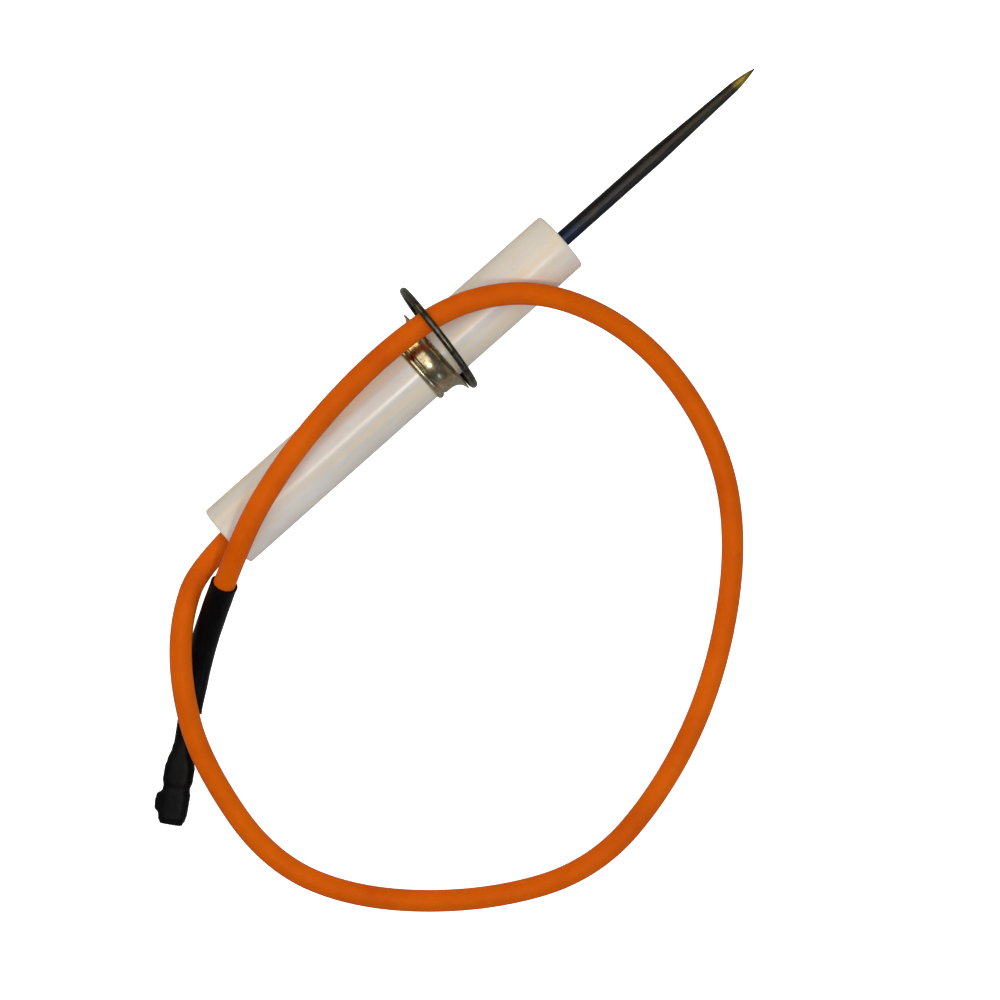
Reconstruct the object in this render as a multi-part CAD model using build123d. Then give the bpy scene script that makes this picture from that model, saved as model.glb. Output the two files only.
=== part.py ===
"""Flame sensor probe: a ceramic-insulated electrode with a flared metal collar, a loose wire ring and
a silicone lead that ends in a booted push-on terminal.

Millimetres. The origin is the centre of the collar's mouth, on the probe's axis. +X runs along the
axis to the electrode's tip and +Z is up, with the probe lying on a flat surface on its collar.
"""

import math
import os

from build123d import *

# Ceramic insulator: a stepped tube, with the step hidden under the collar
CERAMIC_REAR_X = -50.2
CERAMIC_FRONT_X = 29.8
CERAMIC_STEP_X = -3.0
CERAMIC_REAR_RADIUS = 6.2
CERAMIC_FRONT_RADIUS = 5.85
CERAMIC_EDGE_ROUND = 0.5
ROD_BORE_RADIUS = 1.6
LEAD_BORE_RADIUS = 2.5
LEAD_BORE_END_X = -14.0
CEMENT_RECESS_RADIUS = 2.5
CEMENT_RECESS_DEPTH = 3.0

# Electrode rod, drawn out to a point
ROD_RADIUS = 1.5
ROD_TAIL_X = -26.0
ROD_TAPER_X = 53.0
ROD_POINT_X = 71.4
ROD_POINT_RADIUS = 0.95
ROD_POINT_BULGE = 0.2
ROD_TIP_X = 76.2
ROD_TIP_RADIUS = 0.12

# Cement round the rod, and potting round the lead
CEMENT_FACE_INSET = 0.3
POTTING_FACE_INSET = 0.4
POTTING_DEPTH = 6.0

# Crimped joint between the rod and the lead, inside the ceramic
FERRULE_RADIUS = 2.2
FERRULE_REAR_X = -36.0
FERRULE_FRONT_X = -18.0
CONDUCTOR_RADIUS = 0.75
CONDUCTOR_GAP = 0.5

# Mounting collar: a bead, a band and a trumpet flare in one sheet pressing
COLLAR_SHEET = 0.5
COLLAR_REAR_X = -5.4
COLLAR_BEAD_LENGTH = 1.3
COLLAR_BEAD_RISE = 0.75
COLLAR_BAND_END_X = -2.8
COLLAR_MOUTH_RADIUS = 8.8
COLLAR_FLARE_HEADING = (1, 0.05)
COLLAR_LIP_LENGTH = 0.3

# Loose wire ring, hung over the lead just in front of the collar
RING_RADIUS = 10.4
RING_WIRE_RADIUS = 0.65
RING_CENTRE = (1.7, 1.4, 3.2)
RING_YAW = -4.5
RING_LEAN = 2.0

# Surface that the probe lies on
TABLE_Z = -COLLAR_MOUTH_RADIUS

# Lead
LEAD_RADIUS = 2.0
LEAD_FLOOR_Z = TABLE_Z + LEAD_RADIUS
LEAD_ROUTE = [
    (-38.0, 0.0, 0.0),
    (-56.6, 0.0, 0.0),
    (-66.3, -5.6, 2.4),
    (-74.4, -14.9, 2.2),
    (-80.8, -27.2, -0.8),
    (-84.5, -48.6, LEAD_FLOOR_Z),
    (-76.7, -64.9, LEAD_FLOOR_Z),
    (-60.0, -80.2, LEAD_FLOOR_Z),
    (-41.2, -89.2, LEAD_FLOOR_Z),
    (-20.7, -86.2, LEAD_FLOOR_Z),
    (-0.9, -77.3, LEAD_FLOOR_Z),
    (17.4, -62.4, LEAD_FLOOR_Z),
    (27.5, -45.9, -6.1),
    (29.7, -23.8, -1.2),
    (22.2, -5.8, 7.7),
    (8.8, 3.8, 9.65),
    (-8.0, 5.6, 10.25),
    (-27.3, 4.0, 8.65),
    (-41.5, 0.3, 9.9),
    (-50.9, -3.8, 8.6),
    (-65.0, -10.3, -2.0),
    (-73.4, -15.8, -5.25),
    (-77.0, -18.7, -5.47),
]
ARC_SHARE = 0.45

# Heat-shrink sleeve over the last of the lead
SLEEVE_RADIUS = 2.5
SLEEVE_START_SHARE = 0.36

# Terminal boot, a soft moulded insulator: (distance from its rear, width, height)
BOOT_LENGTH = 20.8
BOOT_SECTIONS = [
    (0.0, 3.7, 3.7),
    (5.8, 3.6, 3.6),
    (10.2, 5.5, 4.3),
    (12.8, 5.5, 4.3),
    (14.1, 5.0, 4.1),
    (15.2, 5.5, 4.3),
    (19.2, 5.4, 4.3),
    (BOOT_LENGTH, 4.6, 3.7),
]
BOOT_CORNER_SHARE = 0.36
BOOT_CAVITY_START = 11.0
BOOT_CAVITY_WIDTH = 3.9
BOOT_CAVITY_HEIGHT = 2.3
BOOT_BORE_RADIUS = 1.4
LUG_START = 15.2
LUG_LENGTH = 3.8
LUG_OUT = 0.9
LUG_HEIGHT = 2.6

# Push-on receptacle for a 2.8 x 0.8 mm tab
TAB_WIDTH = 2.9
TAB_GAP = 0.85
RECEPTACLE_SHEET = 0.35
RECEPTACLE_START = 12.4
RECEPTACLE_LENGTH = 7.0
RECEPTACLE_RETURN = 1.25
CRIMP_START = 2.5
CRIMP_LENGTH = 5.0
CRIMP_RADIUS = 1.3
STRAP_WIDTH = 1.6


def turned(outline):
    """Solid of revolution about X from an outline of (x, radius) points or edges."""
    face = make_face(outline)
    return revolve(face, Axis.X, 360)


def tube(rear_x, front_x, outer, inner):
    """Plain ring or sleeve about the probe's axis."""
    corners = [(rear_x, inner), (front_x, inner), (front_x, outer), (rear_x, outer)]
    return turned(Polyline(*corners, close=True))


def rod(rear_x, front_x, radius):
    """Plain cylinder on the probe's axis."""
    return extrude(Plane.YZ.offset(rear_x) * Circle(radius), front_x - rear_x)


def ceramic_insulator():
    outline = Polyline(
        (CERAMIC_REAR_X, LEAD_BORE_RADIUS),
        (LEAD_BORE_END_X, LEAD_BORE_RADIUS),
        (LEAD_BORE_END_X, ROD_BORE_RADIUS),
        (CERAMIC_FRONT_X - CEMENT_RECESS_DEPTH, ROD_BORE_RADIUS),
        (CERAMIC_FRONT_X - CEMENT_RECESS_DEPTH, CEMENT_RECESS_RADIUS),
        (CERAMIC_FRONT_X, CEMENT_RECESS_RADIUS),
        (CERAMIC_FRONT_X, CERAMIC_FRONT_RADIUS),
        (CERAMIC_STEP_X, CERAMIC_FRONT_RADIUS),
        (CERAMIC_STEP_X, CERAMIC_REAR_RADIUS),
        (CERAMIC_REAR_X, CERAMIC_REAR_RADIUS),
        close=True,
    )
    body = turned(outline)
    ends = [
        edge
        for edge in body.edges().filter_by(GeomType.CIRCLE)
        if edge.radius > CERAMIC_FRONT_RADIUS - 0.01
        and abs(edge.center().X - CERAMIC_STEP_X) > 1.0
    ]
    return fillet(ends, CERAMIC_EDGE_ROUND)


def electrode_rod():
    taper = Line((ROD_TAPER_X, ROD_RADIUS), (ROD_POINT_X, ROD_POINT_RADIUS))
    middle_x = (ROD_POINT_X + ROD_TIP_X) / 2
    middle_radius = (ROD_POINT_RADIUS + ROD_TIP_RADIUS) / 2 + ROD_POINT_BULGE
    point = ThreePointArc(
        (ROD_POINT_X, ROD_POINT_RADIUS),
        (middle_x, middle_radius),
        (ROD_TIP_X, ROD_TIP_RADIUS),
    )
    rest = Polyline(
        (ROD_TIP_X, ROD_TIP_RADIUS),
        (ROD_TIP_X, 0.0),
        (ROD_TAIL_X, 0.0),
        (ROD_TAIL_X, ROD_RADIUS),
        (ROD_TAPER_X, ROD_RADIUS),
    )
    return turned(taper + point + rest)


def front_cement():
    front_x = CERAMIC_FRONT_X - CEMENT_FACE_INSET
    return tube(CERAMIC_FRONT_X - CEMENT_RECESS_DEPTH, front_x, CEMENT_RECESS_RADIUS, ROD_RADIUS)


def rear_potting():
    rear_x = CERAMIC_REAR_X + POTTING_FACE_INSET
    return tube(rear_x, rear_x + POTTING_DEPTH, LEAD_BORE_RADIUS, LEAD_RADIUS)


def joint_ferrule():
    wire_end = tube(FERRULE_REAR_X, ROD_TAIL_X, FERRULE_RADIUS, CONDUCTOR_RADIUS)
    rod_end = tube(ROD_TAIL_X, FERRULE_FRONT_X, FERRULE_RADIUS, ROD_RADIUS)
    return wire_end + rod_end


def conductor_probe_end():
    return rod(LEAD_ROUTE[0][0], ROD_TAIL_X - CONDUCTOR_GAP, CONDUCTOR_RADIUS)


def mounting_collar():
    bore = CERAMIC_REAR_RADIUS
    band = bore + COLLAR_SHEET
    bead_top = bore + COLLAR_BEAD_RISE
    bead_end_x = COLLAR_REAR_X + COLLAR_BEAD_LENGTH
    bead_mid_x = (COLLAR_REAR_X + bead_end_x) / 2
    lip_inner = COLLAR_MOUTH_RADIUS - COLLAR_SHEET
    outside = (
        Line((COLLAR_REAR_X, bore), (COLLAR_REAR_X, bore + COLLAR_SHEET / 2))
        + ThreePointArc(
            (COLLAR_REAR_X, bore + COLLAR_SHEET / 2),
            (bead_mid_x, bead_top),
            (bead_end_x, bore + COLLAR_SHEET / 2),
        )
        + Polyline(
            (bead_end_x, bore + COLLAR_SHEET / 2),
            (bead_end_x + COLLAR_SHEET / 2, band),
            (COLLAR_BAND_END_X, band),
        )
    )
    flare_out = TangentArc(
        (COLLAR_BAND_END_X, band),
        (-COLLAR_LIP_LENGTH, COLLAR_MOUTH_RADIUS - COLLAR_SHEET / 4),
        tangent=COLLAR_FLARE_HEADING,
    )
    lip = Polyline(
        (-COLLAR_LIP_LENGTH, COLLAR_MOUTH_RADIUS - COLLAR_SHEET / 4),
        (-COLLAR_LIP_LENGTH / 2, COLLAR_MOUTH_RADIUS),
        (0.0, COLLAR_MOUTH_RADIUS),
        (0.0, lip_inner + COLLAR_SHEET / 4),
    )
    flare_in = TangentArc(
        (COLLAR_BAND_END_X + COLLAR_SHEET / 2, bore),
        (0.0, lip_inner + COLLAR_SHEET / 4),
        tangent=COLLAR_FLARE_HEADING,
    )
    inside = Line((COLLAR_BAND_END_X + COLLAR_SHEET / 2, bore), (COLLAR_REAR_X, bore))
    return turned(outside + flare_out + lip + flare_in + inside)


def retaining_ring():
    ring = Torus(RING_RADIUS, RING_WIRE_RADIUS)
    return Pos(*RING_CENTRE) * Rot(0, 0, RING_YAW) * Rot(0, 90 + RING_LEAN, 0) * ring


def arc_radii(points):
    """One radius for each corner, as large as the shorter of its two runs allows."""
    radii = []
    for before, here, after in zip(points, points[1:], points[2:]):
        back = Vector(*before) - Vector(*here)
        ahead = Vector(*after) - Vector(*here)
        turn = math.radians(180 - back.get_angle(ahead))
        radii.append(ARC_SHARE * min(back.length, ahead.length) / math.tan(turn / 2))
    return radii


def swept(points, radii, outer, inner=0.0):
    """Round bar or pipe along straight runs joined by tangent arcs."""
    path = FilletPolyline(*points, radius=radii)
    section = Circle(outer) - Circle(inner) if inner else Circle(outer)
    return sweep(Plane(origin=path @ 0, z_dir=path % 0) * section, path=path)


def lead_cable():
    return swept(LEAD_ROUTE, arc_radii(LEAD_ROUTE), LEAD_RADIUS)


def heat_shrink_sleeve():
    corner, *rest = (Vector(*point) for point in LEAD_ROUTE[-4:])
    start = corner + (rest[0] - corner) * SLEEVE_START_SHARE
    points = [tuple(start), *LEAD_ROUTE[-3:]]
    return swept(points, arc_radii(LEAD_ROUTE)[-2:], SLEEVE_RADIUS, LEAD_RADIUS)


def boot_frame():
    """Plane whose z axis runs on from the lead, down the boot, and whose x axis is its width."""
    rear = Vector(*LEAD_ROUTE[-1])
    along = (rear - Vector(*LEAD_ROUTE[-2])).normalized()
    across = along.cross(Vector(0, 0, 1)).normalized()
    return Plane(origin=rear, x_dir=across, z_dir=along)


def boot_box(start, length, width, height, across=0.0, up=0.0):
    """Box in the boot's own frame."""
    block = Box(width, height, length, align=(Align.CENTER, Align.CENTER, Align.MIN))
    return Pos(across, up, start) * block


def boot_cylinder(start, length, radius):
    block = Cylinder(radius, length, align=(Align.CENTER, Align.CENTER, Align.MIN))
    return Pos(0, 0, start) * block


def terminal_boot():
    rings = [
        Pos(0, 0, along) * RectangleRounded(width, height, BOOT_CORNER_SHARE * height)
        for along, width, height in BOOT_SECTIONS
    ]
    body = loft(rings, ruled=True)
    widest = max(width for _, width, _ in BOOT_SECTIONS)
    lug = boot_box(LUG_START, LUG_LENGTH, 2 * LUG_OUT, LUG_HEIGHT, across=widest / 2)
    body += fillet(lug.edges(), LUG_OUT / 3)
    cavity_length = BOOT_LENGTH - BOOT_CAVITY_START
    body -= boot_box(BOOT_CAVITY_START, cavity_length, BOOT_CAVITY_WIDTH, BOOT_CAVITY_HEIGHT)
    body -= boot_cylinder(0.0, BOOT_CAVITY_START, BOOT_BORE_RADIUS)
    return boot_frame() * body


def tab_receptacle():
    sheet = RECEPTACLE_SHEET
    width = TAB_WIDTH + 2 * sheet
    height = TAB_GAP + 2 * sheet
    start = RECEPTACLE_START
    length = RECEPTACLE_LENGTH
    floor_up = -(TAB_GAP + sheet) / 2
    body = boot_box(start, length, width, sheet, up=floor_up)
    for side in (-1, 1):
        body += boot_box(start, length, sheet, height, across=side * (width - sheet) / 2)
        edge = side * (width - RECEPTACLE_RETURN) / 2
        body += boot_box(start, length, RECEPTACLE_RETURN, sheet, across=edge, up=-floor_up)
    crimp_end = CRIMP_START + CRIMP_LENGTH
    strap_start = crimp_end - 1.0
    body += boot_box(strap_start, start - strap_start + 0.5, STRAP_WIDTH, sheet, up=floor_up)
    barrel = boot_cylinder(CRIMP_START, CRIMP_LENGTH, CRIMP_RADIUS)
    wire = boot_cylinder(CRIMP_START, CRIMP_LENGTH, CONDUCTOR_RADIUS)
    return boot_frame() * ((body + barrel) - wire)


def conductor_terminal_end():
    return boot_frame() * boot_cylinder(0.0, CRIMP_START + CRIMP_LENGTH, CONDUCTOR_RADIUS)


PIECES = [
    ceramic_insulator,
    electrode_rod,
    front_cement,
    rear_potting,
    joint_ferrule,
    conductor_probe_end,
    mounting_collar,
    retaining_ring,
    lead_cable,
    heat_shrink_sleeve,
    terminal_boot,
    tab_receptacle,
    conductor_terminal_end,
]


def print_lead():
    """Print the lead's radii, and its volume against its section times its length."""
    radii = arc_radii(LEAD_ROUTE)
    length = FilletPolyline(*LEAD_ROUTE, radius=radii).length
    expected = math.pi * LEAD_RADIUS**2 * length
    print("lead radii", [round(radius, 1) for radius in radii])
    print(f"lead length {length:.1f}, volume {lead_cable().volume:.0f} of {expected:.0f}")


os.makedirs("parts", exist_ok=True)
for piece in PIECES:
    export_step(piece(), f"parts/{piece.__name__}.step")
print_lead()
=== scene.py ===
"""Flame sensor probe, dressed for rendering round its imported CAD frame. Metres throughout."""

import math

import bmesh
import bpy
from mathutils import Matrix, Vector, noise


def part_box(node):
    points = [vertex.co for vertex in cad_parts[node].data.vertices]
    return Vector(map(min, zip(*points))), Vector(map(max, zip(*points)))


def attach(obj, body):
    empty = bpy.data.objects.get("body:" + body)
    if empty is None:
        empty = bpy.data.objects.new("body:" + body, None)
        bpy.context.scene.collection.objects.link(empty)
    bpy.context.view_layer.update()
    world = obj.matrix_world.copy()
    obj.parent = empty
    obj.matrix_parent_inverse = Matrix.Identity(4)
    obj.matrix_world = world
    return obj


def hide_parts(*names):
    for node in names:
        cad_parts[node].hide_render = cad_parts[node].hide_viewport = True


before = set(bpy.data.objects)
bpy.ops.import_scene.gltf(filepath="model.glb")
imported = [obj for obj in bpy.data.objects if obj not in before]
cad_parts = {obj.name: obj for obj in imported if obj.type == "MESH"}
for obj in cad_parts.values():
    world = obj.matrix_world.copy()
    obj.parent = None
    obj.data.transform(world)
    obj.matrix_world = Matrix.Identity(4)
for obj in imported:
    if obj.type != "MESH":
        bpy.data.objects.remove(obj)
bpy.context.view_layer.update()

MM = 0.001
TURN = 2 * math.pi

# Places that the frame gives
CERAMIC_LOW, CERAMIC_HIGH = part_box("ceramic_insulator")
REAR_X, FRONT_X = CERAMIC_LOW.x, CERAMIC_HIGH.x
CERAMIC_RADIUS = CERAMIC_HIGH.z
COLLAR_LOW, COLLAR_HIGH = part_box("mounting_collar")
MOUTH_X, MOUTH_RADIUS = COLLAR_HIGH.x, COLLAR_HIGH.z
ROD_LOW, ROD_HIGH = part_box("electrode_rod")
ROD_TAIL_X, ROD_TIP_X = ROD_LOW.x, ROD_HIGH.x
ROD_RADIUS = ROD_HIGH.z
RING_LOW, RING_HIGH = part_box("retaining_ring")
TABLE_Z = COLLAR_LOW.z

# Lead
LEAD_RADIUS = 0.002
LEAD_FLOOR_Z = -0.0068
LEAD_ROUTE = [
    (-0.0380, 0.0, 0.0),
    (-0.0566, 0.0, 0.0),
    (-0.0663, -0.0056, 0.0024),
    (-0.0744, -0.0149, 0.0022),
    (-0.0808, -0.0272, -0.0008),
    (-0.0845, -0.0486, LEAD_FLOOR_Z),
    (-0.0767, -0.0649, LEAD_FLOOR_Z),
    (-0.0600, -0.0802, LEAD_FLOOR_Z),
    (-0.0412, -0.0892, LEAD_FLOOR_Z),
    (-0.0207, -0.0862, LEAD_FLOOR_Z),
    (-0.0009, -0.0773, LEAD_FLOOR_Z),
    (0.0174, -0.0624, LEAD_FLOOR_Z),
    (0.0275, -0.0459, -0.0061),
    (0.0297, -0.0238, -0.0012),
    (0.0222, -0.0058, 0.0077),
    (0.0088, 0.0038, 0.00965),
    (-0.0080, 0.0056, 0.01025),
    (-0.0273, 0.0040, 0.00865),
    (-0.0415, 0.0003, 0.0099),
    (-0.0509, -0.0038, 0.0086),
    (-0.0650, -0.0103, -0.0020),
    (-0.0734, -0.0158, -0.00525),
    (-0.0770, -0.0187, -0.00547),
]
SLEEVE_START_SHARE = 0.36

# Camera: straight above the floor, turned so that the probe runs up to the right
CAMERA_PLACE = Vector((-0.00934, -0.02749, 0.5))
CAMERA_LENS = 100.33
CAMERA_TURN = math.radians(41.64)


# --- camera, light and floor -----------------------------------------------------------------


def make_camera():
    """Overhead camera; returns the picture's own right and up directions."""
    up = Vector((math.sin(CAMERA_TURN), math.cos(CAMERA_TURN), 0.0))
    right = up.cross(Vector((0, 0, 1)))
    data = bpy.data.cameras.new("camera")
    data.lens = CAMERA_LENS
    data.sensor_width = 36.0
    data.clip_start, data.clip_end = 0.01, 10.0
    camera = bpy.data.objects.new("camera", data)
    bpy.context.scene.collection.objects.link(camera)
    spin = Matrix((right, up, Vector((0, 0, 1)))).transposed().to_4x4()
    camera.matrix_world = Matrix.Translation(CAMERA_PLACE) @ spin
    bpy.context.scene.camera = camera
    return right, up


def area_light(name, place, aim, size, power, colour):
    data = bpy.data.lights.new(name, "AREA")
    data.shape = "RECTANGLE"
    data.size, data.size_y = size
    data.energy = power
    data.color = colour
    light = bpy.data.objects.new(name, data)
    bpy.context.scene.collection.objects.link(light)
    light.location = place
    light.rotation_mode = "QUATERNION"
    light.rotation_quaternion = (Vector(aim) - Vector(place)).to_track_quat("-Z", "Y")


def make_lights(right, up):
    """Soft studio light: a wide box overhead, a small key that draws the line of light along the
    tube, and a warm and a cool side light."""
    centre = Vector((CAMERA_PLACE.x, CAMERA_PLACE.y, 0.0))

    def beside(across, along, high):
        return centre + right * across + up * along + Vector((0, 0, high))

    area_light("overhead", beside(-0.08, 0.10, 0.62), centre, (0.70, 0.50), 2.2, (1.0, 0.985, 0.96))
    area_light("key", beside(0.206, -0.232, 0.90), centre, (0.12, 0.12), 2.3, (1.0, 0.95, 0.85))
    area_light("warm_side", beside(-0.45, 0.30, 0.25), centre, (0.30, 0.12), 0.55, (1.0, 0.80, 0.45))
    area_light("cool_side", beside(0.42, -0.30, 0.22), centre, (0.28, 0.12), 0.40, (0.50, 0.72, 1.0))
    world = bpy.data.worlds.new("studio")
    bpy.context.scene.world = world
    world.use_nodes = True
    background = world.node_tree.nodes["Background"]
    background.inputs["Color"].default_value = (0.95, 0.97, 1.0, 1.0)
    background.inputs["Strength"].default_value = 0.15


def make_floor():
    """Pale floor: white to the camera, and greyer where shiny pieces reflect it."""
    mesh = bpy.data.meshes.new("floor")
    half = 3.0
    corners = [(-half, -half), (half, -half), (half, half), (-half, half)]
    mesh.from_pydata([(x, y, TABLE_Z) for x, y in corners], [], [(0, 1, 2, 3)])
    floor = bpy.data.objects.new("floor", mesh)
    bpy.context.scene.collection.objects.link(floor)
    material = bpy.data.materials.new("pale_floor")
    material.use_nodes = True
    shader = material.node_tree.nodes["Principled BSDF"]
    shader.inputs["Base Color"].default_value = (0.93, 0.93, 0.93, 1.0)
    shader.inputs["Roughness"].default_value = 0.9
    shader.inputs["Specular IOR Level"].default_value = 0.1
    shader.inputs["Emission Color"].default_value = (1.0, 1.0, 1.0, 1.0)
    tree = material.node_tree
    path = tree.nodes.new("ShaderNodeLightPath")
    for ray, low, high, socket in (
        ("Is Camera Ray", 0.08, 1.20, "Emission Strength"),
        ("Is Glossy Ray", 0.93, 0.30, "Base Color"),
    ):
        choice = tree.nodes.new("ShaderNodeMapRange")
        choice.inputs["To Min"].default_value = low
        choice.inputs["To Max"].default_value = high
        tree.links.new(path.outputs[ray], choice.inputs["Value"])
        tree.links.new(choice.outputs["Result"], shader.inputs[socket])
    mesh.materials.append(material)


# --- mesh helpers ----------------------------------------------------------------------------


def new_object(name, mesh, material, body, *nodes, slot=None, sharp=math.radians(40)):
    """Finish a mesh as a piece: smooth shading, material, body, and the CAD nodes it stands for."""
    for face in mesh.polygons:
        face.use_smooth = True
    mesh.set_sharp_from_angle(angle=sharp)
    mesh.materials.append(material)
    piece = bpy.data.objects.new(name, mesh)
    bpy.context.scene.collection.objects.link(piece)
    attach(piece, body)
    if nodes:
        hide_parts(*nodes)
    return piece


def mesh_of(name, build):
    """Mesh made by build(bm), with its normals made consistent."""
    bm = bmesh.new()
    build(bm)
    bmesh.ops.remove_doubles(bm, verts=bm.verts, dist=1e-7)
    bmesh.ops.recalc_face_normals(bm, faces=bm.faces)
    mesh = bpy.data.meshes.new(name)
    bm.to_mesh(mesh)
    bm.free()
    return mesh


def bridge(bm, low, high):
    """Quads between two closed rings of vertices."""
    count = len(low)
    for i in range(count):
        j = (i + 1) % count
        bm.faces.new((low[i], low[j], high[j], high[i]))


def loft(bm, rings, closed_ends=False, loop=False):
    """Skin over rings of points; loop joins the last ring to the first."""
    made = [[bm.verts.new(point) for point in ring] for ring in rings]
    for low, high in zip(made, made[1:]):
        bridge(bm, low, high)
    if loop:
        bridge(bm, made[-1], made[0])
    if closed_ends:
        bm.faces.new(made[0])
        bm.faces.new(made[-1])


def rounded(outline, steps):
    """Closed outline with its corners rounded; each point is (x, radius, size of its round)."""
    out = []
    count = len(outline)
    for i, corner in enumerate(outline):
        here = Vector(corner[:2])
        size = corner[2]
        before = Vector(outline[i - 1][:2]) - here
        after = Vector(outline[(i + 1) % count][:2]) - here
        turn = math.pi - before.angle(after)
        if size <= 0:
            out.append(here)
            continue
        reach = min(size * math.tan(turn / 2), 0.45 * before.length, 0.45 * after.length)
        start = here + before.normalized() * reach
        end = here + after.normalized() * reach
        for k in range(steps + 1):
            t = k / steps
            out.append((1 - t) ** 2 * start + 2 * t * (1 - t) * here + t * t * end)
    return out


def lathe(bm, outline, segments=96, wobble=None):
    """Solid of revolution about X from a closed outline of (x, radius) in metres."""
    rings = []
    for x, radius in outline:
        ring = []
        for k in range(segments):
            angle = TURN * k / segments
            r = radius + (wobble(x, radius, angle) if wobble else 0.0)
            ring.append(Vector((x, r * math.cos(angle), r * math.sin(angle))))
        rings.append(ring)
    loft(bm, rings, loop=True)


def split(points, longest):
    """The closed outline with extra points, so that no step is longer than that."""
    out = []
    for here, after in zip(points, points[1:] + points[:1]):
        steps = max(1, math.ceil((after - here).length / longest))
        out += [here.lerp(after, k / steps) for k in range(steps)]
    return out


def smooth_steps(pairs, at):
    """Value at a place along a list of (place, value), eased between neighbours."""
    if at <= pairs[0][0]:
        return pairs[0][1]
    for (a, low), (b, high) in zip(pairs, pairs[1:]):
        if at <= b:
            t = (at - a) / (b - a)
            t = t * t * (3 - 2 * t)
            return low + (high - low) * t
    return pairs[-1][1]


class Line:
    """A line through points, read by distance, with a frame that doesn't twist."""

    def __init__(self, points):
        self.points = [Vector(p) for p in points]
        self.along = [0.0]
        for a, b in zip(self.points, self.points[1:]):
            self.along.append(self.along[-1] + (b - a).length)
        self.length = self.along[-1]

    def at(self, distance):
        distance = min(max(distance, 0.0), self.length)
        for i in range(1, len(self.along)):
            if self.along[i] >= distance:
                span = self.along[i] - self.along[i - 1]
                t = (distance - self.along[i - 1]) / span if span else 0.0
                return self.points[i - 1].lerp(self.points[i], t)
        return self.points[-1]

    def heading(self, distance):
        reach = 0.0004
        return (self.at(distance + reach) - self.at(distance - reach)).normalized()

    def frame(self, distance):
        """(place, side, up) square to the line, with up kept near +Z."""
        ahead = self.heading(distance)
        side = ahead.cross(Vector((0, 0, 1))).normalized()
        return self.at(distance), side, side.cross(ahead)


# --- materials -------------------------------------------------------------------------------


class Nodes:
    """Short way to build a material's node tree round its Principled shader."""

    def __init__(self, name):
        self.material = bpy.data.materials.new(name)
        self.material.use_nodes = True
        self.tree = self.material.node_tree
        self.shader = self.tree.nodes["Principled BSDF"]
        self.coords = self.tree.nodes.new("ShaderNodeTexCoord").outputs["Object"]

    def set(self, **values):
        for name, value in values.items():
            self.shader.inputs[name.replace("_", " ")].default_value = value

    def link(self, output, name):
        self.tree.links.new(output, self.shader.inputs[name])

    def node(self, kind, inputs=(), **settings):
        made = self.tree.nodes.new("ShaderNode" + kind)
        for name, value in settings.items():
            setattr(made, name, value)
        for socket, value in dict(inputs).items():
            if isinstance(value, bpy.types.NodeSocket):
                self.tree.links.new(value, made.inputs[socket])
            else:
                made.inputs[socket].default_value = value
        return made

    def scaled(self, x, y, z):
        """Object coordinates stretched, so that noise is longer along one axis."""
        return self.node("Mapping", {"Vector": self.coords, "Scale": (x, y, z)}).outputs[0]

    def noise(self, scale, detail, rough, vector=None):
        inputs = {"Vector": vector or self.coords, "Scale": scale}
        inputs |= {"Detail": detail, "Roughness": rough}
        return self.node("TexNoise", inputs).outputs["Fac"]

    def ramp(self, value, *stops):
        """Colour ramp through (place, colour) stops; a plain number is a grey."""
        made = self.node("ValToRGB", {"Fac": value})
        marks = made.color_ramp.elements
        while len(marks) < len(stops):
            marks.new(0.5)
        for mark, (place, colour) in zip(marks, stops):
            grey = isinstance(colour, (int, float))
            mark.position = place
            mark.color = (colour,) * 3 + (1.0,) if grey else (*colour, 1.0)
        return made.outputs["Color"]

    def range(self, value, low, high, to_low, to_high):
        inputs = {"Value": value, 1: low, 2: high, 3: to_low, 4: to_high}
        return self.node("MapRange", inputs).outputs["Result"]

    def mix(self, factor, base, colour):
        """A plain colour laid over the base where the factor says."""
        inputs = {0: factor, 6: base, 7: (*colour, 1.0)}
        return self.node("Mix", inputs, data_type="RGBA").outputs[2]

    def add(self, a, b):
        return self.node("Math", {0: a, 1: b}, operation="ADD").outputs[0]

    def axis(self, which):
        """One of the object coordinates, in metres."""
        return self.node("SeparateXYZ", {"Vector": self.coords}).outputs[which]

    def bump(self, height, strength, distance, normal=None):
        inputs = {"Height": height, "Strength": strength, "Distance": distance}
        if normal:
            inputs["Normal"] = normal
        return self.node("Bump", inputs).outputs["Normal"]


def ceramic_material():
    """Off-white alumina: fine grain, a painted warm highlight in streaks along the tube, and a few
    specks.
    """
    m = Nodes("alumina")
    lengthwise_noise = m.noise(420.0, 5.0, 0.6, vector=m.scaled(0.05, 1.0, 1.0))
    cloudy = m.noise(70.0, 4.0, 0.6)
    grain = m.noise(5200.0, 3.0, 0.6)
    base = m.ramp(cloudy, (0.30, (0.64, 0.61, 0.57)), (0.70, (0.75, 0.73, 0.70)))
    # Warm lengthwise streaks in the colour are painted highlight lines; the same noise also sets
    # roughness and bump.
    painted_highlight_streaks = m.ramp(lengthwise_noise, (0.45, 0.0), (0.64, 0.80))
    colour = m.mix(painted_highlight_streaks, base, (0.78, 0.65, 0.45))
    speck = m.ramp(m.noise(1500.0, 2.0, 0.5), (0.70, 0.0), (0.78, 0.5))
    m.link(m.mix(speck, colour, (0.50, 0.43, 0.34)), "Base Color")
    m.link(m.range(lengthwise_noise, 0.3, 0.7, 0.20, 0.32), "Roughness")
    rough = m.bump(grain, 0.10, 0.00004)
    m.link(m.bump(lengthwise_noise, 0.25, 0.00005, normal=rough), "Normal")
    m.set(Specular_IOR_Level=0.26, Subsurface_Weight=0.12, Subsurface_Scale=0.002)
    m.set(Subsurface_Radius=(1.0, 0.8, 0.6))
    return m.material


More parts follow.
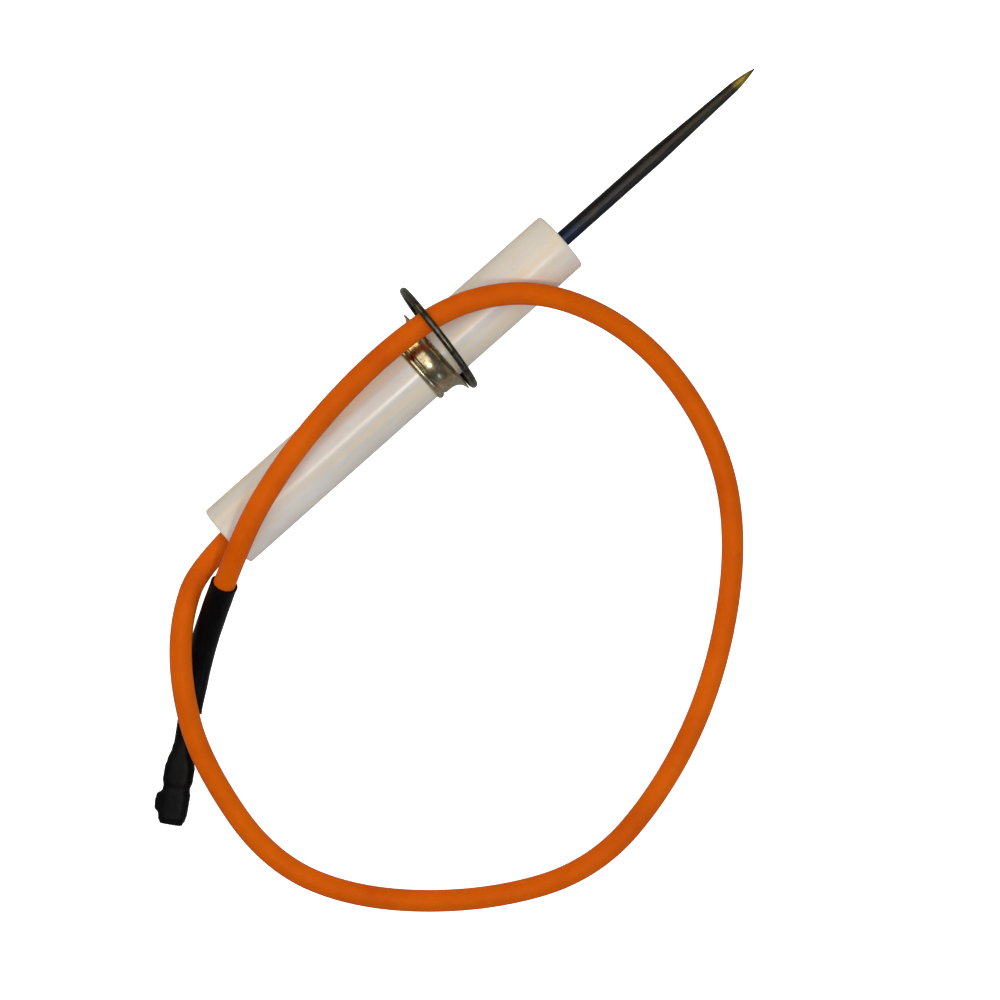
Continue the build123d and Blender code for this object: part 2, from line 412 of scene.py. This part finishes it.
def oxidised_material():
    """Heat-darkened electrode: near-black scale, a painted blue reflection by the ceramic, and a
    painted yellow highlight band near the point.
    """
    m = Nodes("oxidised_steel")
    along = m.axis("X")
    scale = m.noise(900.0, 6.0, 0.65, vector=m.scaled(0.25, 1.0, 1.0))
    patch = m.noise(160.0, 3.0, 0.5)
    place_along_rod = m.range(along, FRONT_X, ROD_TIP_X, 0.0, 1.0)
    place_along_rod = m.add(place_along_rod, m.range(patch, 0.3, 0.7, -0.02, 0.02))
    # Colour along the rod: painted blue reflection by the ceramic, near-black scale, then a painted
    # yellow highlight band near the point.
    scale_and_painted_light = m.ramp(
        place_along_rod,
        (0.0, (0.012, 0.020, 0.045)),
        (0.12, (0.020, 0.019, 0.022)),
        (0.60, (0.028, 0.025, 0.019)),
        (0.90, (0.034, 0.028, 0.018)),
        (0.93, (0.420, 0.290, 0.040)),
        (0.965, (0.340, 0.240, 0.040)),
        (0.985, (0.060, 0.050, 0.022)),
    )
    worn = m.ramp(scale, (0.54, 0.0), (0.76, 0.45))
    m.link(m.mix(worn, scale_and_painted_light, (0.105, 0.092, 0.060)), "Base Color")
    m.link(m.range(scale, 0.3, 0.7, 0.26, 0.50), "Roughness")
    m.link(m.bump(scale, 0.35, 0.00006), "Normal")
    m.set(Metallic=0.9)
    return m.material


def plated_material():
    """Bright nickel plate over a steel pressing, yellowed and dulled in patches."""
    m = Nodes("nickel_plate")
    patch = m.noise(380.0, 5.0, 0.6)
    fine = m.noise(3000.0, 4.0, 0.6)
    colour = m.ramp(patch, (0.36, (0.30, 0.235, 0.12)), (0.64, (0.58, 0.50, 0.33)))
    spot = m.ramp(m.noise(1300.0, 3.0, 0.6), (0.60, 0.0), (0.70, 0.8))
    m.link(m.mix(spot, colour, (0.12, 0.09, 0.05)), "Base Color")
    m.link(m.range(patch, 0.3, 0.7, 0.16, 0.32), "Roughness")
    m.link(m.bump(fine, 0.10, 0.00002), "Normal")
    m.set(Metallic=1.0)
    return m.material


def wire_material():
    """Dark spring wire, mottled with paler patches."""
    m = Nodes("spring_wire")
    patch = m.noise(700.0, 5.0, 0.65)
    colour = m.ramp(patch, (0.35, (0.030, 0.028, 0.024)), (0.68, (0.15, 0.14, 0.10)))
    m.link(colour, "Base Color")
    m.link(m.range(patch, 0.3, 0.7, 0.22, 0.42), "Roughness")
    m.link(m.bump(m.noise(4000.0, 3.0, 0.6), 0.15, 0.00002), "Normal")
    m.set(Metallic=1.0)
    return m.material


def silicone_material():
    """Orange silicone jacket: satin and faintly cloudy, with fine grain and pale dust."""
    m = Nodes("orange_silicone")
    cloud = m.noise(90.0, 4.0, 0.55)
    fine = m.noise(2600.0, 4.0, 0.6)
    colour = m.ramp(cloud, (0.30, (0.620, 0.092, 0.0)), (0.70, (0.740, 0.128, 0.0)))
    dust = m.ramp(m.noise(3400.0, 2.0, 0.5), (0.66, 0.0), (0.76, 0.16))
    m.link(m.mix(dust, colour, (0.74, 0.22, 0.010)), "Base Color")
    m.link(m.range(fine, 0.3, 0.7, 0.42, 0.60), "Roughness")
    m.link(m.bump(fine, 0.14, 0.00003), "Normal")
    m.set(Specular_IOR_Level=0.05, Subsurface_Weight=0.06, Subsurface_Scale=0.001)
    m.set(Subsurface_Radius=(1.0, 0.3, 0.05))
    return m.material


def black_material(name, grain, depth, roughness):
    """Black polymer with its own grain."""
    m = Nodes(name)
    fine = m.noise(grain, 4.0, 0.6)
    cloud = m.noise(240.0, 4.0, 0.6)
    colour = m.ramp(cloud, (0.35, (0.0016, 0.0016, 0.0022)), (0.70, (0.0042, 0.0040, 0.0042)))
    dust = m.ramp(m.noise(2800.0, 2.0, 0.5), (0.68, 0.0), (0.78, 0.4))
    m.link(m.mix(dust, colour, (0.020, 0.019, 0.018)), "Base Color")
    m.link(m.range(fine, 0.3, 0.7, roughness - 0.07, roughness + 0.09), "Roughness")
    m.link(m.bump(fine, 0.22, depth), "Normal")
    m.set(Specular_IOR_Level=0.07)
    return m.material


def strip_material(name, dark, light, roughness):
    """Plain metal strip or wire with faint drawn grain."""
    m = Nodes(name)
    patch = m.noise(800.0, 5.0, 0.6)
    m.link(m.ramp(patch, (0.35, dark), (0.65, light)), "Base Color")
    m.link(m.range(patch, 0.3, 0.7, roughness - 0.06, roughness + 0.08), "Roughness")
    m.link(m.bump(m.noise(4500.0, 3.0, 0.6), 0.12, 0.00002), "Normal")
    m.set(Metallic=1.0)
    return m.material


def paste_material(name, dark, light, grain):
    """Cement or potting: matt, gritty and uneven."""
    m = Nodes(name)
    lumps = m.noise(grain, 6.0, 0.7)
    m.link(m.ramp(lumps, (0.35, dark), (0.65, light)), "Base Color")
    m.link(m.bump(lumps, 0.6, 0.00015), "Normal")
    m.set(Roughness=0.85, Specular_IOR_Level=0.3)
    return m.material


# --- the probe -------------------------------------------------------------------------------


def make_ceramic(material):
    """The stepped tube, very slightly uneven, as extruded and fired ceramic is."""
    bore = 2.5 * MM
    rod_bore = 1.6 * MM
    front_radius = 5.85 * MM
    step_x = -3.0 * MM
    lead_bore_end = -14.0 * MM
    recess = 3.0 * MM
    unevenness = 0.035 * MM

    outline = [
        (REAR_X, bore, 0.35 * MM),
        (lead_bore_end, bore, 0.0),
        (lead_bore_end, rod_bore, 0.0),
        (FRONT_X - recess, rod_bore, 0.0),
        (FRONT_X - recess, bore, 0.0),
        (FRONT_X, bore, 0.30 * MM),
        (FRONT_X, front_radius, 0.65 * MM),
        (step_x, front_radius, 0.0),
        (step_x, CERAMIC_RADIUS, 0.2 * MM),
        (REAR_X, CERAMIC_RADIUS, 0.55 * MM),
    ]

    def wobble(x, radius, angle):
        in_bore = radius < front_radius - 1 * MM
        place = Vector((x * 40, math.cos(angle) * 1.3, math.sin(angle) * 1.3))
        return 0.0 if in_bore else unevenness * (noise.noise(place) - 0.6)

    points = split(rounded(outline, steps=6), longest=2.0 * MM)
    mesh = mesh_of("ceramic_tube", lambda bm: lathe(bm, points, 128, wobble))
    return new_object(
        "ceramic_tube", mesh, material, "root", "ceramic_insulator", slot="ceramic"
    )


def make_rod(material):
    """Round rod whose last stretch is drawn down and ground to a point with flats."""
    taper_x = 53.0 * MM
    girth = [
        (ROD_TAIL_X, ROD_RADIUS - 0.1 * MM),
        (ROD_TAIL_X + 0.2 * MM, ROD_RADIUS),
        (taper_x, ROD_RADIUS),
        (71.0 * MM, 0.98 * MM),
        (72.4 * MM, 0.84 * MM),
        (73.8 * MM, 0.64 * MM),
        (75.0 * MM, 0.40 * MM),
        (75.8 * MM, 0.20 * MM),
        (ROD_TIP_X, 0.08 * MM),
    ]
    grinding_run = 10 * MM
    flat_depth, pit_depth = 0.06, 0.02 * MM
    segments = 48
    steps = 220

    def radius_at(x):
        for (a, low), (b, high) in zip(girth, girth[1:]):
            if x <= b:
                return low + (high - low) * (x - a) / (b - a)
        return girth[-1][1]

    def ring_at(x):
        ring = []
        radius = radius_at(x)
        ground = min(max((x - taper_x) / grinding_run, 0.0), 1.0)
        for k in range(segments):
            angle = TURN * k / segments
            pit = noise.noise(Vector((x * 900, math.cos(angle) * 2.2, math.sin(angle) * 2.2)))
            flat = flat_depth * ground * math.cos(4 * angle + 0.6)
            r = radius * (1 - abs(flat)) - pit_depth * (pit + 0.5)
            ring.append(Vector((x, r * math.cos(angle), r * math.sin(angle))))
        return ring

    def build(bm):
        whole = ROD_TIP_X - ROD_TAIL_X
        rings = [ring_at(ROD_TAIL_X + whole * k / steps) for k in range(steps + 1)]
        loft(bm, rings, closed_ends=True)

    mesh = mesh_of("electrode", build)
    return new_object("electrode", mesh, material, "root", "electrode_rod", slot="rod_metal")


def make_cement(material):
    """Cement in the nose's recess, drawn up a little against the rod and the ceramic."""
    face_x = FRONT_X - 0.3 * MM
    back_x = FRONT_X - 3.0 * MM
    inner, outer = 1.5 * MM, 2.5 * MM
    lump_height = 0.04 * MM
    points = [
        Vector((back_x, inner)),
        Vector((back_x, outer)),
        Vector((face_x, outer - 0.01 * MM)),
        Vector((face_x - 0.12 * MM, outer - 0.25 * MM)),
        Vector((face_x - 0.16 * MM, (inner + outer) / 2)),
        Vector((face_x - 0.10 * MM, inner + 0.18 * MM)),
        Vector((face_x, inner)),
    ]

    def lumps(x, radius, angle):
        place = Vector((x * 1500, math.cos(angle) * 3, math.sin(angle) * 3))
        return lump_height * noise.noise(place) if x > face_x - 1 * MM else 0.0

    mesh = mesh_of("nose_cement", lambda bm: lathe(bm, points, 64, lumps))
    return new_object("nose_cement", mesh, material, "root", "front_cement", slot="cement")


def make_potting(material):
    """Potting in the rear bore, with its face dished between the lead and the ceramic."""
    rear_x = REAR_X + 0.4 * MM
    deep_x = rear_x + 6.0 * MM
    inner, outer = LEAD_RADIUS, 2.5 * MM
    points = [
        Vector((rear_x, inner)),
        Vector((rear_x + 0.10 * MM, (inner + outer) / 2)),
        Vector((rear_x + 0.02 * MM, outer)),
        Vector((deep_x, outer)),
        Vector((deep_x, inner)),
    ]
    mesh = mesh_of("lead_potting", lambda bm: lathe(bm, points, 64))
    return new_object("lead_potting", mesh, material, "root", "rear_potting", slot="potting")


def make_collar(material):
    """Thin pressing: rolled bead, groove, band, and a flare that ends in a turned lip."""
    sheet = 0.5 * MM
    bore = CERAMIC_RADIUS
    x0 = COLLAR_LOW.x
    dent_depth = 0.03 * MM
    # Bead, groove and band, in millimetres along from the rear edge and out from the ceramic
    pressed = [
        (0.0, 0.15), (0.12, 0.45), (0.38, 0.68), (0.65, 0.74), (0.92, 0.68), (1.18, 0.45),
        (1.36, 0.28), (1.50, 0.30), (1.64, 0.44), (1.80, 0.50), (2.60, 0.50),
    ]
    outer = [(x0 + along * MM, bore + out * MM) for along, out in pressed]
    flare_start = outer[-1]
    flare_end = (MOUTH_X - 0.35 * MM, MOUTH_RADIUS - 0.10 * MM)
    steps = 12
    for k in range(1, steps + 1):
        t = k / steps
        x = flare_start[0] + (flare_end[0] - flare_start[0]) * math.sin(t * math.pi / 2) ** 0.9
        r = flare_start[1] + (flare_end[1] - flare_start[1]) * (1 - math.cos(t * math.pi / 2))
        outer.append((x, r))
    lip = [
        (MOUTH_X - 0.18 * MM, MOUTH_RADIUS - 0.01 * MM),
        (MOUTH_X - 0.04 * MM, MOUTH_RADIUS - 0.10 * MM),
        (MOUTH_X, MOUTH_RADIUS - 0.26 * MM),
        (MOUTH_X - 0.05 * MM, MOUTH_RADIUS - 0.42 * MM),
    ]
    inner = []
    for x, r in reversed(outer[-steps - 1 :]):
        inner.append((x + 0.35 * sheet, r - sheet))
    inner[-1] = (flare_start[0] + 0.3 * MM, bore)
    points = [Vector(p) for p in outer + lip + inner[1:] + [(x0, bore)]]

    def dents(x, radius, angle):
        if radius < bore + 0.1 * MM:
            return 0.0
        place = Vector((x * 300, math.cos(angle) * 1.6, math.sin(angle) * 1.6))
        return dent_depth * (noise.noise(place) - 0.5)

    mesh = mesh_of("flared_collar", lambda bm: lathe(bm, points, 144, dents))
    return new_object(
        "flared_collar", mesh, material, "root", "mounting_collar", slot="nickel"
    )


def make_ring(material):
    """Round wire bent into a ring, its two cut ends butted at the side, and not quite flat."""
    centre = (RING_LOW + RING_HIGH) / 2
    yaw, lean = math.radians(-4.5), math.radians(2.0)
    wire = 0.65 * MM
    radius = 10.4 * MM
    spin = Matrix.Rotation(yaw, 3, "Z") @ Matrix.Rotation(math.pi / 2 + lean, 3, "Y")
    rounds, segments = 220, 20
    gap = math.radians(1.1)
    join = math.radians(98.0)
    end_sizes = [0.80, 0.94]
    out_of_round, out_of_flat, girth_change = 0.985, 0.05 * MM, 0.012

    def place(angle, out, up):
        r = radius + out
        return centre + spin @ Vector((r * math.cos(angle), r * math.sin(angle), up))

    def build(bm):
        rings = []
        for k in range(rounds + 1):
            angle = join + gap / 2 + (TURN - gap) * k / rounds
            end = min(k, rounds - k)
            size = wire * (end_sizes[end] if end < len(end_sizes) else 1.0)
            spot = Vector((math.cos(angle), math.sin(angle), 0)) * 6
            size *= 1 + girth_change * noise.noise(spot)
            wave = out_of_flat * math.sin(2 * angle)
            ring = []
            for j in range(segments):
                turn = TURN * j / segments
                out = size * math.cos(turn) * out_of_round
                ring.append(place(angle, out, size * math.sin(turn) + wave))
            rings.append(ring)
        loft(bm, rings, closed_ends=True)

    mesh = mesh_of("wire_ring", build)
    return new_object("wire_ring", mesh, material, "ring", "retaining_ring", slot="ring_wire")


# --- the lead --------------------------------------------------------------------------------


def make_lead(material):
    """The free lead, one smooth line with the route's points as control points."""
    data = bpy.data.curves.new("orange_lead", "CURVE")
    data.dimensions = "3D"
    spline = data.splines.new("NURBS")
    spline.points.add(len(LEAD_ROUTE) - 1)
    for point, place in zip(spline.points, LEAD_ROUTE):
        point.co = (*place, 1.0)
    spline.order_u = 3
    spline.use_endpoint_u = True
    spline.resolution_u = 24
    bare = bpy.data.objects.new("bare_line", data.copy())
    line_mesh = bpy.data.meshes.new_from_object(bare)
    line = Line([v.co.copy() for v in line_mesh.vertices])
    bpy.data.meshes.remove(line_mesh)
    bpy.data.curves.remove(bare.data)
    data.bevel_depth = LEAD_RADIUS
    data.bevel_resolution = 10
    data.use_fill_caps = True
    data.materials.append(material)
    lead = bpy.data.objects.new("orange_lead", data)
    bpy.context.scene.collection.objects.link(lead)
    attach(lead, "root")
    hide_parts("lead_cable")
    return lead, line


def nearest_distance(line, place):
    """How far along the line its point nearest to a place is."""
    best = min(range(len(line.points)), key=lambda i: (line.points[i] - Vector(place)).length)
    return line.along[best]


def make_sleeve(line, material):
    """Heat-shrink tube: cut square, shrunk hard on the lead, with faint lengthwise puckers."""
    end = line.length
    above, below = (Vector(point) for point in LEAD_ROUTE[-4:-2])
    start = nearest_distance(line, above.lerp(below, SLEEVE_START_SHARE))
    wall = 0.5 * MM
    shrink, lip_height, lip_width = 0.06 * MM, 0.05 * MM, 0.5 * MM
    pucker_height, neck_depth = 0.05 * MM, 0.12 * MM
    steps, inner_steps, segments = 110, 12, 48

    def radius_at(t, angle):
        outer = LEAD_RADIUS + wall
        edge = min(t, 1 - t) * (end - start)
        lip = lip_height * math.exp(-((edge / lip_width) ** 2))
        pucker = noise.noise(Vector((t * 9, math.cos(angle) * 2.0, math.sin(angle) * 2.0)))
        neck = neck_depth * smooth_steps([(0.80, 0.0), (1.0, 1.0)], t)
        return outer - shrink + lip + pucker_height * pucker - neck

    def ring_at(t, inside=False):
        place, side, up = line.frame(start + (end - start) * t)
        ring = []
        for k in range(segments):
            angle = TURN * k / segments
            r = LEAD_RADIUS - 0.02 * MM if inside else radius_at(t, angle)
            ring.append(place + side * (r * math.cos(angle)) + up * (r * math.sin(angle)))
        return ring

    def build(bm):
        outside = [ring_at(k / steps) for k in range(steps + 1)]
        inside = [ring_at(1 - k / inner_steps, inside=True) for k in range(inner_steps + 1)]
        loft(bm, outside + inside, loop=True)

    mesh = mesh_of("shrink_sleeve", build)
    return new_object(
        "shrink_sleeve", mesh, material, "root", "heat_shrink_sleeve", slot="black_shrink"
    )


class BootFrame:
    """Axes of the terminal: its rear, the way it points, its width and its thickness."""

    def __init__(self):
        self.rear = Vector(LEAD_ROUTE[-1])
        self.along = (self.rear - Vector(LEAD_ROUTE[-2])).normalized()
        self.across = self.along.cross(Vector((0, 0, 1))).normalized()
        self.up = self.across.cross(self.along)

    def place(self, along, across, up):
        return self.rear + self.along * along + self.across * across + self.up * up


def squarish(width, height, power, count):
    """Points of a rounded rectangle, as a superellipse, going round from the wide side."""
    points = []
    for k in range(count):
        angle = TURN * k / count
        c, s = math.cos(angle), math.sin(angle)
        x = math.copysign(abs(c) ** (2 / power), c) * width / 2
        y = math.copysign(abs(s) ** (2 / power), s) * height / 2
        points.append((x, y))
    return points


def make_boot(boot, material):
    """Soft moulded boot: neck, shoulder, waist, mouth with a lug, and the hollow for the terminal."""
    length = 20.7 * MM
    widths = [
        (0.0, 3.65), (5.4, 3.5), (7.0, 3.9), (9.2, 4.9), (10.4, 5.4), (12.6, 5.4),
        (13.9, 4.85), (14.4, 4.9), (15.3, 5.35), (18.6, 5.3), (19.8, 4.9), (20.7, 4.15),
    ]
    heights = [
        (0.0, 3.65), (5.6, 3.5), (10.2, 4.25), (12.8, 4.25), (14.1, 4.0), (15.2, 4.25),
        (19.4, 4.2), (20.3, 3.8), (20.7, 3.2),
    ]
    powers = [(0.0, 2.0), (5.8, 2.1), (10.2, 3.2), (20.7, 3.4)]
    lug = [(14.9, 0.0), (15.7, 0.72), (17.0, 0.85), (18.2, 0.75), (19.0, 0.0)]
    lug_half_height = 1.5
    seam_rise, seam_half_width = 0.04, 0.08
    unevenness, pitch = 0.03, 0.9
    count, steps = 72, 150

    def ring_at(at):
        mm = at / MM
        width = smooth_steps(widths, mm)
        height = smooth_steps(heights, mm)
        power = smooth_steps(powers, mm)
        out = smooth_steps(lug, mm)
        ring = []
        for x, y in squarish(width, height, power, count):
            if x > 0:
                x += out * (x / (width / 2)) ** 6 * max(0.0, 1 - (y / lug_half_height) ** 4)
            seam = seam_rise * math.exp(-((y / seam_half_width) ** 2)) * (1 if x > 0 else -1)
            spot = Vector((mm * pitch, x * pitch, y * pitch))
            x += seam * (abs(x) > width * 0.3) + unevenness * noise.noise(spot) * x / width
            ring.append(boot.place(at, x * MM, y * MM))
        return ring

    def hollow_ring(at, width, height, power):
        return [boot.place(at, x * MM, y * MM) for x, y in squarish(width, height, power, count)]

    def build(bm):
        outside = [ring_at(length * k / steps) for k in range(steps + 1)]
        mouth = [
            hollow_ring(length, 3.98, 2.60, 5.0),
            hollow_ring(length - 0.15 * MM, 3.92, 2.40, 6.0),
        ]
        cavity = [hollow_ring(at * MM, 3.9, 2.3, 8.0) for at in (15.0, 11.2)]
        bore = [hollow_ring(at * MM, 2.8, 2.2, power) for at, power in ((11.0, 2.2), (0.0, 2.0))]
        loft(bm, outside + mouth + cavity + bore, loop=True)

    mesh = mesh_of("boot_shell", build)
    return new_object(
        "boot_shell", mesh, material, "root", "terminal_boot", slot="black_boot",
        sharp=math.radians(55),
    )


# Receptacle and crimp, in millimetres along and across the terminal's own line
STRIP_SHEET = 0.33
STRIP_HALF_WIDTH = 1.78
STRIP_FLOOR = -0.6
STRIP_BACK, STRIP_FRONT = 12.4, 19.3
STRIP_ROLL = 0.62
ENTRY_LENGTH, ENTRY_SPREAD = 0.8, 0.10
STRAP_START, STRAP_HALF_WIDTH = 6.5, 0.8
CRIMP_PROFILE = [(2.5, 1.22), (2.8, 1.3), (4.4, 1.18), (5.6, 1.18), (7.2, 1.3), (7.5, 1.22)]
CRIMP_DENT, CRIMP_DENT_WIDTH = 0.10, 0.35
CORE_RADIUS = 0.75


def rolled_half(sign):
    """Outline of one half of the strip: flat floor, then the edge rolled in over the tab."""
    roll_centre = STRIP_HALF_WIDTH - STRIP_ROLL
    steps = 14
    middle = [(0.0, STRIP_FLOOR), (roll_centre, STRIP_FLOOR)]
    for k in range(1, steps + 1):
        angle = -math.pi / 2 + 1.32 * math.pi * k / steps
        x = roll_centre + STRIP_ROLL * math.cos(angle)
        middle.append((x, STRIP_FLOOR + STRIP_ROLL + STRIP_ROLL * math.sin(angle)))
    outer, inner = [], []
    for i, (x, y) in enumerate(middle):
        before = Vector(middle[max(i - 1, 0)])
        after = Vector(middle[min(i + 1, len(middle) - 1)])
        ahead = (after - before).normalized()
        off = Vector((ahead.y, -ahead.x)) * STRIP_SHEET / 2
        outer.append((sign * (x + off.x), y + off.y))
        inner.append((sign * (x - off.x), y - off.y))
    return outer + inner[::-1]


def crimp_ring(boot, at, radius, dent=0.0):
    """Ring of points round the terminal's line, with a dent pressed into its top."""
    count = 32
    ring = []
    for k in range(count):
        angle = TURN * k / count
        r = radius * (1 - dent * math.exp(-(((angle - math.pi / 2) / CRIMP_DENT_WIDTH) ** 2)))
        ring.append(boot.place(at * MM, r * math.cos(angle) * MM, r * math.sin(angle) * MM))
    return ring


def make_receptacle(boot, material):
    """Push-on receptacle: a strip with both edges rolled in over the tab, a strap and a crimp."""

    def placed(at, outline, spread=0.0):
        ring = []
        for x, y in outline:
            away = spread * (1 if y > STRIP_FLOOR else -1)
            ring.append(boot.place(at * MM, x * MM, (y + away) * MM))
        return ring

    def build(bm):
        for sign in (-1, 1):
            outline = rolled_half(sign)
            back = placed(STRIP_BACK, outline)
            entry = placed(STRIP_FRONT - ENTRY_LENGTH, outline)
            mouth = placed(STRIP_FRONT, outline, ENTRY_SPREAD)
            loft(bm, [back, entry, mouth], closed_ends=True)
        low, high = STRIP_FLOOR - STRIP_SHEET / 2, STRIP_FLOOR + STRIP_SHEET / 2
        half = STRAP_HALF_WIDTH
        strap = [(-half, low), (half, low), (half, high), (-half, high)]
        loft(bm, [placed(at, strap) for at in (STRAP_START, STRIP_BACK + 0.3)], closed_ends=True)
        barrel = [crimp_ring(boot, at, radius, CRIMP_DENT) for at, radius in CRIMP_PROFILE]
        rear, front = CRIMP_PROFILE[0][0], CRIMP_PROFILE[-1][0]
        core = [crimp_ring(boot, at, CORE_RADIUS) for at in (front, rear)]
        loft(bm, barrel + core, loop=True)

    mesh = mesh_of("tab_terminal", build)
    return new_object(
        "tab_terminal", mesh, material, "root", "tab_receptacle", slot="tinned_brass"
    )


def dress(node, material):
    """A CAD node whose shape is right keeps its mesh and takes a finished material."""
    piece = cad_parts[node]
    piece.data.materials.clear()
    piece.data.materials.append(material)
    return piece


axes = make_camera()
make_lights(*axes)
make_floor()

make_ceramic(ceramic_material())
make_rod(oxidised_material())
make_cement(paste_material("nose_cement", (0.42, 0.37, 0.30), (0.62, 0.57, 0.49), 2200.0))
make_potting(paste_material("lead_potting", (0.30, 0.27, 0.23), (0.46, 0.42, 0.36), 1500.0))
make_collar(plated_material())
make_ring(wire_material())
lead, lead_line = make_lead(silicone_material())
sleeve = make_sleeve(lead_line, black_material("shrink_tube", 1400.0, 0.00003, 0.36))
boot_frame = BootFrame()
boot_shell = make_boot(boot_frame, black_material("boot_vinyl", 2400.0, 0.00004, 0.44))
terminal = make_receptacle(
    boot_frame, strip_material("tin_plate", (0.50, 0.48, 0.43), (0.72, 0.70, 0.66), 0.30)
)
copper = strip_material("copper_core", (0.55, 0.24, 0.12), (0.80, 0.42, 0.25), 0.32)
core = dress("conductor_terminal_end", copper)
dress("conductor_probe_end", copper)
dress(
    "joint_ferrule",
    strip_material("ferrule_brass", (0.52, 0.36, 0.13), (0.74, 0.56, 0.26), 0.28),
)

bpy.context.scene.view_settings.view_transform = "Standard"
